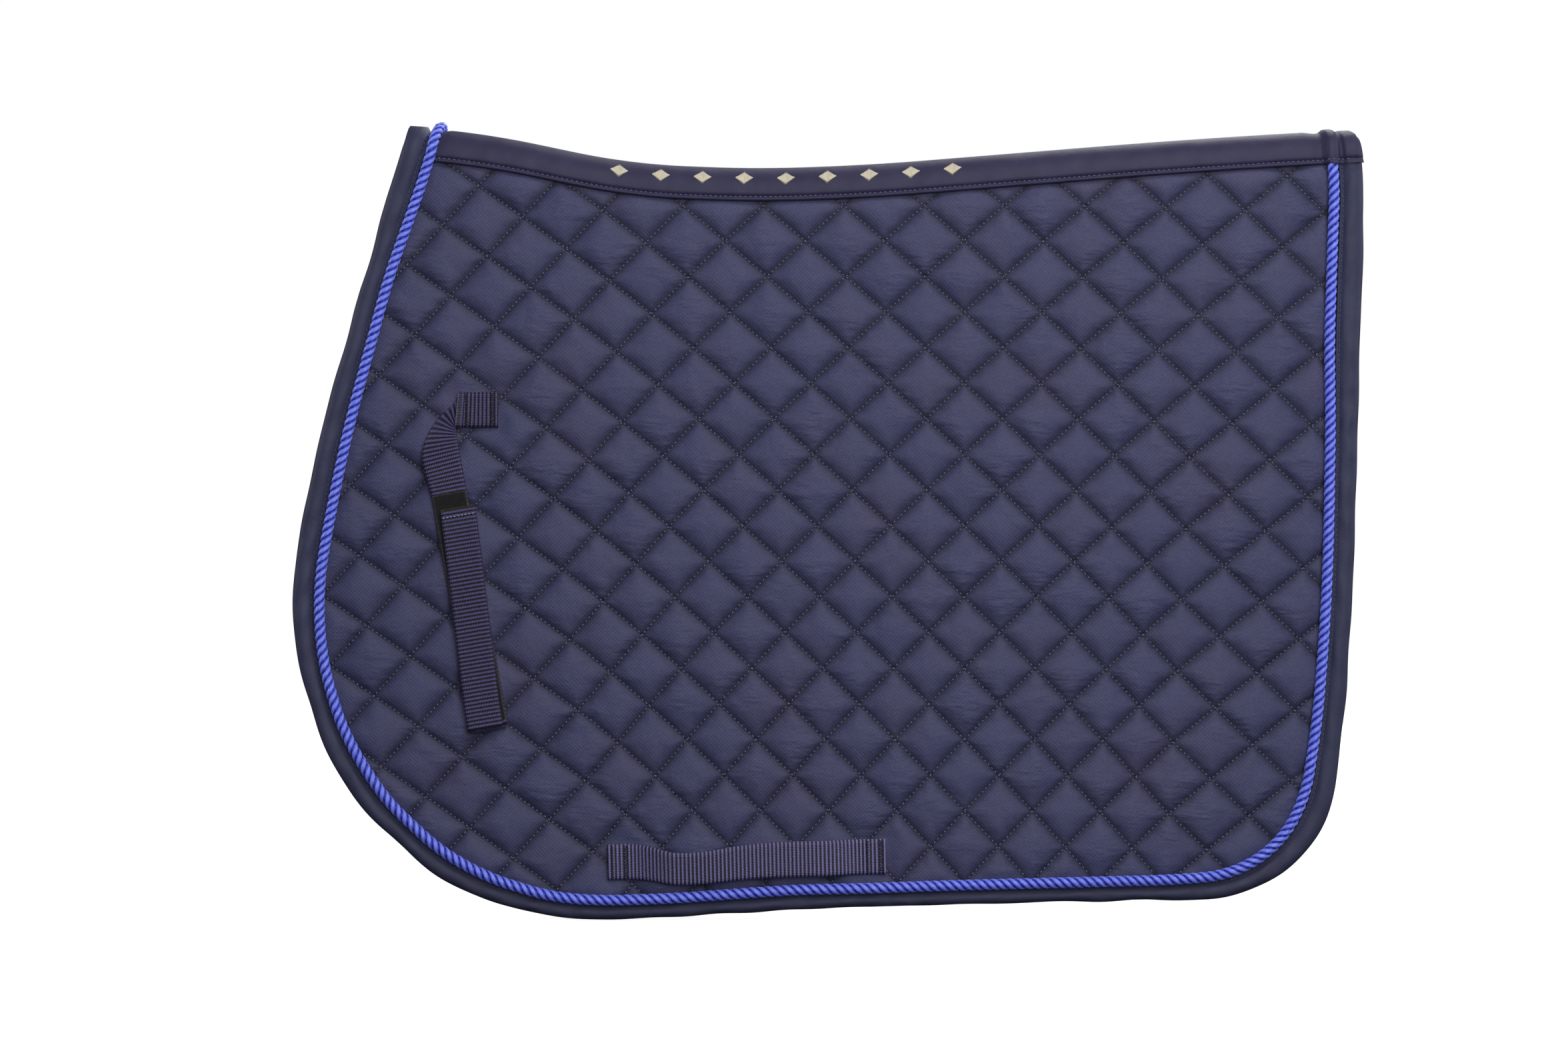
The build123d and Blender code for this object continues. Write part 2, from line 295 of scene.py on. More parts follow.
def quilt_grid(inset, count=CELL_STEPS):
    """The quilted cloth's vertices in p and q, its quads, and which vertices were moved to its border."""
    first_p, last_p, first_q, last_q = -9, 18, -18, 9
    steps = cell_steps(count)
    line_p = np.r_[np.add.outer(np.arange(first_p, last_p), steps).ravel(), last_p]
    line_q = np.r_[np.add.outer(np.arange(first_q, last_q), steps).ravel(), last_q]
    p, q = np.meshgrid(line_p, line_q, indexing="ij")
    x, h = quilt_point(p, q)
    distance, nearest = edge_distance(x, h)
    inside = (distance >= inset) & (h <= spine_height(x) - LAYER_TOP)
    number = np.arange(p.size).reshape(p.shape)
    quads = quads_between(number)
    quads = quads[inside.ravel()[quads].any(1)]
    used = np.unique(quads)
    new_number = np.full(p.size, -1)
    new_number[used] = np.arange(len(used))
    p, q, x, h, distance, nearest = (a.ravel()[used] for a in (p, q, x, h, distance, nearest))
    uncut = np.stack([x, h], 1)
    border = distance < inset
    on_border = inset_from(nearest, inset)
    x, h = np.where(border, on_border[:, 0], x), np.where(border, on_border[:, 1], h)
    top = spine_height(x) - LAYER_TOP
    border |= h > top
    stitched = (np.abs(p - np.round(p)) < 1e-6) | (np.abs(q - np.round(q)) < 1e-6)
    held, quads = border | stitched, new_number[quads]
    return SimpleNamespace(p=p, q=q, x=x, h=np.minimum(h, top), uncut=uncut, quads=quads, held=held)


PUFF_SCALE = 20.0 * MM


def simulated_puff(grid, frames=16):
    """How far each vertex of the quilted cloth moves along x, h and n when air fills it: a cloth simulation
    of slightly larger cloth, held along its stitching and its border."""
    flat = np.c_[grid.uncut, 0.3 * dome(grid.p, grid.q)]
    obj = mesh_object("puff", flat * PUFF_SCALE, grid.quads)
    held = grid.held
    pin = obj.vertex_groups.new(name="held")
    pin.add(np.flatnonzero(held).tolist(), 1.0, "REPLACE")
    cloth = obj.modifiers.new("Cloth", "CLOTH")
    settings = cloth.settings
    settings.quality = 4
    settings.mass = 0.3
    settings.tension_stiffness = settings.compression_stiffness = 25
    settings.shear_stiffness = 8
    settings.bending_stiffness = 0.6
    settings.tension_damping = settings.compression_damping = 8
    settings.use_pressure = True
    settings.uniform_pressure_force = 8.0
    settings.shrink_min, settings.shrink_max = -0.04, -0.085
    slack = obj.vertex_groups.new(name="slack")
    weights = 0.5 + 0.5 * ripple(flat[:, 0], flat[:, 1], 31.0, 7)
    for index, weight in enumerate(weights.tolist()):
        slack.add([index], weight, "REPLACE")
    settings.vertex_group_shrink = "slack"
    settings.vertex_group_mass = "held"
    settings.effector_weights.gravity = 0
    cloth.collision_settings.use_collision = False
    cloth.point_cache.frame_end = frames
    scene = bpy.context.scene
    for step in range(1, frames + 1):
        scene.frame_set(step)
    final = obj.evaluated_get(bpy.context.evaluated_depsgraph_get()).to_mesh()
    moved = np.zeros(len(flat) * 3)
    final.vertices.foreach_get("co", moved)
    moved = moved.reshape(-1, 3) / PUFF_SCALE - np.c_[grid.uncut, np.zeros(len(flat))]
    bpy.data.objects.remove(obj)
    scene.frame_set(1)
    moved[held] = 0
    return moved


def shell(name, grid, side, upper, lower, outwards=1):
    """A closed sheet on the quilting's mesh: upper and lower are rows of x, h and n; outwards is -1 for a
    lining."""
    high = place(*upper.T, side)
    low = place(*lower.T, side)
    quads = grid.quads if side * outwards < 0 else grid.quads[:, ::-1]
    edges = np.stack([quads, np.roll(quads, -1, 1)], -1).reshape(-1, 2)
    key = edges.min(1) * len(high) + edges.max(1)
    _, first, count = np.unique(key, return_index=True, return_counts=True)
    rim = edges[first[count == 1]]
    step = len(high)
    rims = np.stack([rim[:, 1], rim[:, 0], rim[:, 0] + step, rim[:, 1] + step], 1)
    faces = np.concatenate([quads, quads[:, ::-1] + step, rims])
    uvs = np.concatenate([upper[:, :2], lower[:, :2]]) / UV_SIZE
    return mesh_object(name, np.concatenate([high, low]), faces, uvs)


def lofted(name, rings, uvs=None, ends_joined=False):
    """A tube through closed rings of points (rings x points x 3), its ends capped or joined to each other."""
    rows, cols = rings.shape[:2]
    number = np.arange(rows * cols).reshape(rows, cols)
    number = np.concatenate([number, number[:, :1]], 1)
    if ends_joined:
        number = np.concatenate([number, number[:1]], 0)
    faces = [list(f) for f in quads_between(number)]
    if not ends_joined:
        faces.append(list(range(cols)))
        faces.append(list(range(rows * cols - 1, (rows - 1) * cols - 1, -1)))
    flat_uvs = None if uvs is None else uvs.reshape(-1, 2) / UV_SIZE
    obj = mesh_object(name, rings.reshape(-1, 3), faces, flat_uvs)
    outward(obj)
    return obj


def outward(obj):
    """Turns a closed mesh's faces outwards."""
    tool = bmesh.new()
    tool.from_mesh(obj.data)
    bmesh.ops.recalc_face_normals(tool, faces=tool.faces)
    tool.to_mesh(obj.data)
    tool.free()


def inset_line(inset, count):
    """The line inset from the edge, from the crest at the front round to the crest at the rear."""
    line = inset_from(np.arange(len(EDGE)), inset)
    below = line[:, 1] - spine_height(line[:, 0]) - CREST_RISE
    first, last = np.flatnonzero(below < 0)[[0, -1]]

    def crossing(inner, outer):
        share = below[inner] / (below[inner] - below[outer])
        return line[inner] + (line[outer] - line[inner]) * share

    line = np.concatenate([[crossing(first, first - 1)], line[first : last + 1], [crossing(last, last + 1)]])
    along = distance_along(line)
    return points_at(np.linspace(0, along[-1], count), along, line)


def round_ring(inset, n, count, wander=0.0):
    """A closed line round both halves at an inset and a height above the middle layer, in metres; wander
    moves it further in, point by point."""
    line = inset_line(inset, count)
    line = line + inner_normals(line) * np.broadcast_to(wander, (count,))[:, None]
    level = np.broadcast_to(n, (count,))
    left = place(line[:, 0], line[:, 1], level, -1)
    right = place(line[:, 0], line[:, 1], level, 1)
    return np.concatenate([left, right[-2:0:-1]])


def stitches(name, starts, ends, normals, thickness=0.75, sunk=0.08):
    """Thread seen between needle holes: a small lozenge from each start to each end, in metres."""
    run = ends - starts
    length = np.linalg.norm(run, axis=1)[:, None]
    run = run / length
    normals = unit(normals)
    across = unit(np.cross(run, normals))
    lift = np.cross(across, run)
    lift *= np.sign((lift * normals).sum(1))[:, None]
    half = thickness * MM / 2
    rows = [starts - lift * 1.6 * half]
    for share in (0.22, 0.78):
        middle = starts + run * length * share + lift * (half - sunk * MM)
        for a, b in ((1.15, 0), (0, 0.9), (-1.15, 0), (0, -0.9)):
            rows.append(middle + across * a * half + lift * b * half)
    rows.append(ends - lift * 1.6 * half)
    points = np.stack(rows, 1)
    faces = []
    for k in range(4):
        faces.append((0, 1 + k, 1 + (k + 1) % 4, 0))
        faces.append((1 + k, 5 + k, 5 + (k + 1) % 4, 1 + (k + 1) % 4))
        faces.append((9, 5 + (k + 1) % 4, 5 + k, 9))
    base = np.arange(len(points))[:, None, None] * 10
    every = (np.array(faces)[None] + base).reshape(-1, 4)
    every = [f[:3] if f[0] == f[3] else f for f in every.tolist()]
    obj = mesh_object(name, points.reshape(-1, 3), every)
    outward(obj)
    return obj


def dashes(line, pitch=3.5, share=0.56):
    """Starts and ends of stitches along a line of x and h."""
    along = distance_along(line)
    starts = np.arange(0.4, along[-1] - pitch, pitch)
    return points_at(starts, along, line), points_at(starts + pitch * share, along, line)


def outside_of(x, h, n, side):
    """The direction that faces away from the middle layer."""
    return place(x, h, n + 1.0, side) - place(x, h, n, side)


def sewn(name, lines, side_levels, **looks):
    """Stitches along lines of x and h; side_levels gives, for each face, its side and its height n, which
    may be a function of x and h."""
    a, b = (np.concatenate(part) for part in zip(*[dashes(line) for line in lines]))
    starts, ends, normals = [], [], []
    for side, height in side_levels:
        level = height(*((a + b) / 2).T) if callable(height) else np.full(len(a), height)
        starts.append(place(a[:, 0], a[:, 1], level, side))
        ends.append(place(b[:, 0], b[:, 1], level, side))
        normals.append(outside_of(*((a + b) / 2).T, level, side) * np.sign(level)[:, None])
    return stitches(name, np.concatenate(starts), np.concatenate(ends), np.concatenate(normals), **looks)


# Where webbing is sewn on through the pad: each patch's middle, and half its width and height.
SEWN_PATCHES = [((-247.5, -198.3), (15, 12.5)), ((-147.5, -516.0), (9, 12.5)), ((31.0, -511.5), (9, 12.5))]


def pressed(x, h):
    """1 where the pad is free to puff up, less where webbing is sewn on."""
    share = 1.0
    for (middle_x, middle_h), (half_x, half_h) in SEWN_PATCHES:
        beyond_x = np.maximum(np.abs(x - middle_x) - half_x, 0)
        beyond_h = np.maximum(np.abs(h - middle_h) - half_h, 0)
        share = share * (0.32 + 0.68 * smooth(np.hypot(beyond_x, beyond_h) / 13))
    return share


# ---- quilted layers
# The cover lies LINE_LEVEL outside the middle at its stitching and PUFF_HEIGHT more where it puffs up most;
# the lining has LINING_SHARE of the same relief. Painted shade darkens the cloth within DARK_REACH and
# CREASE_REACH of the stitching, where the valleys lie in shade.
LINE_LEVEL, CLOTH = 1.6, 1.2
COVER_BORDER, WADDING_BORDER, WADDING_STEPS = 14.5, 15.0, 5
PUFF_HEIGHT, PUFF_SOFTNESS, LINING_SHARE = 5.6, 5.2, 0.55
DARK_REACH, CREASE_REACH = 5.0, 1.7
grid = quilt_grid(COVER_BORDER)
puff = simulated_puff(grid)


def free_of_trim(places):
    """1 where nothing presses the quilting flat, down to 0 under the band and beside the rope."""
    drop = spine_height(places.x) - places.h
    from_edge, _ = edge_distance(places.x, places.h)
    return smooth((drop - 20) / 14) * smooth((from_edge - 12) / 14)


free = free_of_trim(grid) * pressed(grid.x, grid.h)
puff[:, :2] *= free[:, None]
crown = LINE_LEVEL + PUFF_HEIGHT * np.tanh(puff[:, 2] / PUFF_SOFTNESS) * free
crown += 0.25 * ripple(grid.x, grid.h, 6.0, 3) * free * (puff[:, 2] > 0)
to_line = np.minimum(np.abs(grid.p - np.round(grid.p)), np.abs(grid.q - np.round(grid.q))) * QUILT_SPACING
# Painted shade: how much the cloth is darkened near its stitching, where the quilting's valleys lie in shade.
valley_shade = 0.50 * np.exp(-to_line / DARK_REACH) + 0.50 * np.exp(-((to_line / CREASE_REACH) ** 2))
for tag, side in SIDES.items():
    flat = np.stack([grid.x + puff[:, 0], grid.h + puff[:, 1]], 1)
    upper, lower = np.c_[flat, crown], np.c_[flat, crown - CLOTH]
    cover = shell("outer_cover_" + tag, grid, side, upper, lower)
    stand_in(cover, "outer_cover_" + tag, tag + "_half")
    inner = LINE_LEVEL + LINING_SHARE * (crown - LINE_LEVEL)
    lining = shell("lining_" + tag, grid, side, np.c_[flat, -inner], np.c_[flat, CLOTH - inner], -1)
    stand_in(lining, "lining_" + tag, tag + "_half")
    mark(cover, "Valley", np.r_[valley_shade, valley_shade])
    mark(lining, "Valley", np.r_[valley_shade, valley_shade])

# A coarser mesh of the same diamonds for the wadding between the two cloths.
core_grid = quilt_grid(WADDING_BORDER, WADDING_STEPS)
core_puff = 3.0 * dome(core_grid.p, core_grid.q) * pressed(core_grid.x, core_grid.h)
core_puff *= free_of_trim(core_grid)
core_puff[core_grid.held] = 0
for tag, side in SIDES.items():
    flat = np.stack([core_grid.x, core_grid.h], 1)
    thick = 0.2 + core_puff
    upper, lower = np.c_[flat, thick], np.c_[flat, -LINING_SHARE * thick]
    wadding = shell("wadding_" + tag, core_grid, side, upper, lower)
    stand_in(wadding, "wadding_" + tag, tag + "_half")

# ---- edge binding
# Its profile from the inner edge outside, round the pad's edge, to the inner edge inside.
BINDING_OUT = [
    (13.6, 2.6), (13.3, 3.5), (12.6, 3.8), (12.0, 3.35), (11.5, 3.1), (11.0, 3.45), (10.2, 4.3),
    (8.6, 5.2), (6.2, 5.8), (3.8, 5.8), (1.6, 4.9), (-0.2, 3.1), (-1.0, 1.0),
]
BINDING_THICK, BINDING_ROWS = 1.1, 563
# Outside the rope's side the binding's cut end is this high at the front of the crest.
CUT_END = 7.4
profile = BINDING_OUT + [(inset, -0.8 * n) for inset, n in BINDING_OUT[::-1]]
lower = []
for k, (inset, n) in enumerate(profile):
    back, ahead = profile[max(k - 1, 0)], profile[min(k + 1, len(profile) - 1)]
    run = np.array(ahead, float) - back
    run /= np.linalg.norm(run)
    lower.append((inset - run[1] * BINDING_THICK, n + run[0] * BINDING_THICK))


def soft_ring(inset, n, sway, blunt=0.0):
    """One line of the binding: its height and its outer edge wander a little, as soft cloth does, and at
    the front of the crest its cut end stands up square by blunt."""
    line = inset_line(inset, BINDING_ROWS)
    x, h = line.T
    wander = 0.6 * ripple(x, h, 30.0, 4) * smooth((10 - inset) / 10)
    at_crest = smooth((14 - spine_height(x) + h) / 14) * (x < 0)
    return round_ring(inset, n * (1 + sway * ripple(x, h, 11.0, 21)) + blunt * at_crest, BINDING_ROWS, wander)


def blunt_by(inset, n):
    return max(0.0, CUT_END - n) if n > 0 and inset < 9.5 else 0.0


rows = [soft_ring(inset, n, 0.12 if 2 < inset < 11 else 0.03, blunt_by(inset, n)) for inset, n in profile]
for (inset, n), (_, upper_n) in zip(lower[::-1], profile[::-1]):
    rows.append(soft_ring(inset, n, 0.03, blunt_by(inset, upper_n)))
binding = lofted("edge_binding", np.stack(rows, 1), ends_joined=True)
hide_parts("edge_binding_left", "edge_binding_right")

# ---- rope trim
STRAND_RADIUS, STRAND_OFFSET, ROPE_LEAD = 1.95, 2.15, 17.5
ROPE_ROWS, STRAND_SIDES, ROPE_LEVEL = 970, 10, 7.3
rope_line = inset_line(ROPE_INSET, ROPE_ROWS)
rope_drop = spine_height(rope_line[:, 0]) - rope_line[:, 1]
rear = rope_line[:, 0] > 0
under_band = 1.6 * smooth((34 - rope_drop) / 14) + 2.6 * smooth((24 - rope_drop) / 14)
rope_level = np.where(rear, ROPE_LEVEL - under_band, ROPE_LEVEL + 0.5 * smooth((34 - rope_drop) / 14))
centre = round_ring(ROPE_INSET, rope_level, ROPE_ROWS)
run = unit(np.roll(centre, -1, 0) - np.roll(centre, 1, 0))
step_length = np.linalg.norm(np.roll(centre, -1, 0) - centre, axis=1)
along = np.r_[0, np.cumsum(step_length)[:-1]] / MM
turns = round(along[-1] / ROPE_LEAD)
twist = 2 * math.pi * turns * along / (along[-1] + step_length[-1] / MM)
aside = round_ring(ROPE_INSET, rope_level + 1.0, ROPE_ROWS) - centre
aside = unit(aside - (aside * run).sum(1)[:, None] * run)
along_pad = np.cross(run, aside)
angles = np.arange(STRAND_SIDES) * 2 * math.pi / STRAND_SIDES
rope_points, rope_faces, rope_uvs = [], [], []
for strand in range(3):
    phase = twist + strand * 2 * math.pi / 3
    out = aside * np.cos(phase)[:, None] + along_pad * np.sin(phase)[:, None]
    core = centre + out * STRAND_OFFSET * MM
    heading = unit(np.roll(core, -1, 0) - np.roll(core, 1, 0))
    out = unit(out - (out * heading).sum(1)[:, None] * heading)
    other = np.cross(heading, out)
    ring = core[:, None] + STRAND_RADIUS * MM * (
        out[:, None] * np.cos(angles)[None, :, None] * 0.97
        + other[:, None] * np.sin(angles)[None, :, None] * 1.06
    )
    number = np.arange(len(ring) * STRAND_SIDES).reshape(-1, STRAND_SIDES) + strand * len(ring) * STRAND_SIDES
    number = np.concatenate([number, number[:, :1]], 1)
    number = np.concatenate([number, number[:1]], 0)
    rope_points.append(ring.reshape(-1, 3))
    rope_faces.append(quads_between(number))
    across = np.broadcast_to(np.minimum(angles, 2 * math.pi - angles)[None] * STRAND_RADIUS, ring.shape[:2])
    rope_uvs.append(
        np.stack([np.broadcast_to(along[:, None], ring.shape[:2]), across], -1).reshape(-1, 2) / UV_SIZE
    )
rope = mesh_object(
    "rope_trim", np.concatenate(rope_points), np.concatenate(rope_faces), np.concatenate(rope_uvs)
)
outward(rope)
# Painted shade: each strand is marked darker on the side that turns in towards the other strands, where they
# shade each other.
mark(rope, "Groove", np.tile(0.5 - 0.5 * np.cos(angles), 3 * len(centre)))
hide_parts("rope_trim_left", "rope_trim_right")

# ---- spine band and inner tape
BAND_STITCH_DROP = 21.5
ahead_edge = EDGE[(EDGE[:, 0] < -270) & (EDGE[:, 1] > -200)][::-1]
behind_edge = EDGE[(EDGE[:, 0] > 350) & (EDGE[:, 1] > -300)]


def edge_x(h, rear_side):
    line = behind_edge if rear_side else ahead_edge
    return np.interp(h, line[:, 1], line[:, 0])


def band_rows(drops, ahead_inset, behind_inset, shares):
    """x and h over the spine for each share of the way from the front edge to the rear one, by drop below
    it."""
    share, drop = np.meshgrid(shares, drops, indexing="ij")
    x = np.zeros_like(share)
    for _ in range(4):
        h = spine_height(x) - drop
        start = edge_x(h, False) + ahead_inset
        end = edge_x(h, True) - behind_inset
        x = start + (end - start) * share
    return x, spine_height(x) - drop


def across_ridge(x, h, n):
    """Points over both halves: from the left side's lowest row up over the crest and down the right side."""
    left = place(x, h, n, -1)
    right = place(x, h, n, 1)
    return np.concatenate([left, right[:, -2::-1]], 1)


band_drops = np.array(
    [24.6, 24.3, 23.6, 22.8, 22.0, 21.5, 21.0, 20.2, 18.8, 17, 14.5, 12, 9, 6, 3, 1, -0.6, -1.99]
)
rear_rows = 1 - np.arange(40)[::-1] * 1.1 / 660
shares = np.r_[np.linspace(0, rear_rows[0], 190)[:-1], rear_rows]
bx, bh = band_rows(band_drops, 12.0, -2.4, shares)


def band_level(x, h):
    """The height of the band's face: it drops at the front, lies over the rope and the binding behind, and
    its lower hem is pulled in by a row of stitches."""
    from_rear = edge_x(h, True) - x
    from_front = x - edge_x(h, False)
    drop = spine_height(x) - h
    level = 6.4 - 2.9 * smooth((30 - from_front) / 16) - 1.2 * smooth((36 - from_rear) / 10)
    rope_at = 17.8 + 2.4 * smooth(drop / 24)
    on_face = smooth((drop - 1) / 12)
    over_rope = np.exp(-(((from_rear - rope_at) / 4.8) ** 4))
    level += (2.6 + 3.0 * on_face) * over_rope
    level += (1.0 + 1.3 * on_face) * smooth((13.0 - from_rear) / 3.5)
    level -= 3.2 * smooth((0.2 - from_rear) / 2.4) + 1.2 * smooth((2.5 - from_rear) / 3)
    hem = smooth((drop - 19.8) / 1.6) * (1 - 0.65 * smooth((drop - 21.7) / 1.3))
    level -= 1.1 * hem * (1 - 0.85 * over_rope)
    level -= 0.5 * np.exp(-(((drop - BAND_STITCH_DROP) / 0.7) ** 2)) * (1 - 0.7 * over_rope)
    level -= 2.2 * smooth((drop - 24.0) / 0.6) * (from_rear > 22)
    return level + (0.25 * ripple(x, h, 14.0, 5) + 0.12 * ripple(x, h * 0.4, 5.0, 6)) * smooth(drop / 6)


level = band_level(bx, bh)
band_top = across_ridge(bx, bh, level)
band_low = across_ridge(bx, bh, np.maximum(level - 1.2, 1.2))
flat_v = np.concatenate([bh, 2 * spine_height(bx[:, -2::-1]) + 4 - bh[:, -2::-1]], 1)
flat_x = np.concatenate([bx, bx[:, -2::-1]], 1)
band_uv = np.stack([flat_x, flat_v], -1)
band = lofted(
    "spine_band",
    np.concatenate([band_top, band_low[:, ::-1]], 1),
    np.concatenate([band_uv, band_uv[:, ::-1]], 1),
)
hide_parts("spine_band")
mark(band, "Shade", np.ones(len(band.data.vertices)))

tape_drops = np.array([20, 19.2, 18, 16, 13, 10, 7, 4, 1, -0.6, -1.99])
tx, th = band_rows(tape_drops, 12.5, 12.5, np.linspace(0, 1, 160))
tape_level = -6.2 + 0.5 * smooth((spine_height(tx) - th - 18.5) / 1.5) + 0.15 * ripple(tx, th, 12.0, 8)
tape_top = across_ridge(tx, th, tape_level)
tape_low = across_ridge(tx, th, tape_level + 1.1)
tape = lofted("inner_spine_tape", np.concatenate([tape_top, tape_low[:, ::-1]], 1))
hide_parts("inner_spine_tape")

# ---- stitching
# The quilting's stitches end beside the rope and just under the band's edge.
LAST_LINE, STITCH_INSET, STITCH_DROP, BINDING_STITCH_INSET = 18, 21.2, 24.8, 11.5
for family, node in (("p", "quilting_thread"), ("q", "cross_quilting_thread")):
    lines = []
    for number in range(-LAST_LINE, LAST_LINE + 1):
        run = np.linspace(-LAST_LINE, LAST_LINE, 2600)
        x, h = quilt_point(number, run) if family == "p" else quilt_point(run, number)
        gap, _ = edge_distance(x, h)
        keep = (gap > STITCH_INSET) & (spine_height(x) - h > STITCH_DROP)
        if keep.sum() > 20:
            first, last = np.flatnonzero(keep)[[0, -1]]
            lines.append(np.stack([x, h], 1)[first : last + 1])
    for tag, side in SIDES.items():
        both_faces = ((side, LINE_LEVEL + 0.25), (side, -LINE_LEVEL - 0.15))
        thread = sewn(node + "_" + tag, lines, both_faces)
        stand_in(thread, node + "_" + tag, tag + "_half")
binding_line = inset_line(BINDING_STITCH_INSET, 900)
below_top = spine_height(binding_line[:, 0]) - binding_line[:, 1] > 1
binding_line = binding_line[below_top | (binding_line[:, 0] < 0)]
band_x = np.linspace(-300, 376, 900)
band_line = np.stack([band_x, spine_height(band_x) - BAND_STITCH_DROP], 1)
band_line = band_line[band_x - edge_x(band_line[:, 1], False) > 22]
band_line = band_line[edge_x(band_line[:, 1], True) - band_line[:, 0] > 2.5]
for tag, side in SIDES.items():
    thread = sewn("binding_thread_" + tag, [binding_line], ((side, 3.25), (side, -2.6)))
    stand_in(thread, "binding_thread_" + tag, tag + "_half")
    row = sewn("band_thread_" + tag, [band_line], ((side, lambda x, h: band_level(x, h) + 0.25),))
    stand_in(row, "band_thread_" + tag, tag + "_half")

# A row of small satin-stitched diamonds along the band. Their level follows the band's curve under long
# stitches.
DIAMOND_HALF, DIAMOND_HEIGHT, SATIN_PITCH = 6.0, 4.2, 0.55
DIAMOND_COUNT, FIRST_DIAMOND, LAST_DIAMOND, DIAMOND_DROP = 9, -148, 86, 11.5
for tag, side in SIDES.items():
    across = np.arange(-DIAMOND_HALF + 0.4, DIAMOND_HALF, SATIN_PITCH)
    x = np.add.outer(np.linspace(FIRST_DIAMOND, LAST_DIAMOND, DIAMOND_COUNT), across).ravel()
    half = np.tile(DIAMOND_HEIGHT * (1 - np.abs(across) / DIAMOND_HALF) + 0.25, DIAMOND_COUNT)
    h = spine_height(x) - DIAMOND_DROP
    level = band_level(x, h) + 0.30 + half**2 / 40
    a, b = place(x - 0.2, h - half, level, side), place(x + 0.2, h + half, level, side)
    satin = stitches("band_diamonds_" + tag, a, b, outside_of(x, h, level, side), thickness=0.62, sunk=0.0)
    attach(satin, tag + "_half")

# ---- webbing
WEB_WIDTH, RIB_PITCH, WEB_THICK = 25.0, 2.8, 1.7
CORNER = np.array([-262.4, -210.8])
LEAN = math.radians(10)
DOWN = np.array([math.sin(LEAN), -math.cos(LEAN)])
ACROSS = np.array([-math.cos(LEAN), -math.sin(LEAN)])
TAB_LENGTH, FLAP_START, BILLET_LENGTH = 29.7, 56.8, 212.0
SEWN = 3.9


def through(points, count):
    """A smooth curve through the points (Catmull-Rom), with count points an even step apart."""
    points = np.array(points, float)
    padded = np.concatenate([[2 * points[0] - points[1]], points, [2 * points[-1] - points[-2]]])
    curve = []
    for a, b, c, d in zip(padded, padded[1:], padded[2:], padded[3:]):
        for t in np.linspace(0, 1, 24, endpoint=False):
            bend = (2 * a - 5 * b + 4 * c - d) * t**2 + (3 * b - a - 3 * c + d) * t**3
            curve.append(0.5 * (2 * b + (c - a) * t + bend))
    curve = np.array(curve + [points[-1]])
    along = distance_along(curve)
    return points_at(np.linspace(0, along[-1], count), along, curve)


def webbing(name, edges, level, side, thick=WEB_THICK, ribs=0.42, columns=15):
    """Webbing between two edges of x and h, whose underside is at a level, or at one level for each edge;
    its ribs run across it."""
    levels = level if isinstance(level, tuple) else (level, level)
    one, other = (np.c_[edge, np.broadcast_to(n, len(edge))] for edge, n in zip(edges, levels))
    middle = (one + other) / 2
    along = distance_along(middle)
    share = np.linspace(0, 1, columns)
    low = one[:, None] * (1 - share)[None, :, None] + other[:, None] * share[None, :, None]
    face = np.cross(unit(np.gradient(middle, axis=0)), unit(other - one))
    face *= np.sign(face[0, 2]) or 1.0
    selvedge = np.minimum(share, 1 - share) * WEB_WIDTH
    ridges = ribs * np.abs(np.sin(math.pi * along / RIB_PITCH))[:, None] ** 0.7
    lift = thick + ridges * smooth(selvedge / 1.2)[None]
    lift += 0.25 * np.exp(-(((selvedge - 0.7) / 0.6) ** 2))[None]
    lift -= 0.7 * thick * (1 - smooth(selvedge / 0.5 + 0.2))[None]
    high = low + face[:, None] * lift[..., None]
    ring = np.concatenate([high, low[:, ::-1]], 1)
    across = np.concatenate([share, share[::-1]]) * WEB_WIDTH
    uv = np.stack(np.broadcast_arrays(along[:, None], across[None]), -1)
    return lofted(name, place(*np.moveaxis(ring, -1, 0), side), uv)


# The strap's inner and outer edge, from the corner, where it turns down out of the tab.
STRAP_EDGES = [
    ((2.5, 1.2), (1.0, 20.0)), ((0.3, 0.4), (-3.2, 15.2)), ((0.0, -0.9), (-9.4, 9.2)),
    ((0.3, -2.8), (-15.2, 2.2)), ((0.8, -5.8), (-19.8, -6.0)), ((1.6, -9.8), (-22.7, -14.0)),
    ((2.7, -15.8), (-23.5, -22.5)), ((4.2, -24.0), (-21.9, -31.2)), ((6.1, -34.5), (-19.3, -40.2)),
    ((7.8, -44.3), (-16.9, -48.9)),
]
STRAP_END = BILLET_LENGTH - 1.8
straight = np.linspace(57, STRAP_END, 6)
inner_keys = [CORNER + np.array(a) for a, _ in STRAP_EDGES] + [CORNER + DOWN * s for s in straight]
outer_keys = [CORNER + np.array(b) for _, b in STRAP_EDGES]
outer_keys += [CORNER + DOWN * s + ACROSS * WEB_WIDTH for s in straight]
STRAP_ROWS = 620


def matched(keys, count):
    """A smooth curve through keys whose points keep the keys' own spacing, so that two edges stay level."""
    share = np.arange(len(keys)) / (len(keys) - 1)
    curve = through(np.c_[np.array(keys), share * 400], 4000)
    return points_at(np.linspace(0, 400, count), curve[:, 2], curve[:, :2])


strap_in, strap_out = matched(inner_keys, STRAP_ROWS), matched(outer_keys, STRAP_ROWS)
middle = (strap_in + strap_out) / 2
strap_along = distance_along(middle)
strap_level = SEWN + 3.4 * smooth(strap_along / 26)
strap_outer_level = strap_level + 0.9 * np.exp(-(((strap_along - 24) / 14) ** 2))

tab_x = np.linspace(CORNER[0] + TAB_LENGTH, CORNER[0] - 0.6, 120)
tab_low = np.stack([tab_x, np.full(120, CORNER[1])], 1)
tab_high = tab_low + np.stack([np.linspace(0, 2.4, 120) ** 2 / 2.4, np.full(120, WEB_WIDTH)], 1)
tab_level = SEWN + 2.0 * smooth((CORNER[0] + 5 - tab_x) / 4)

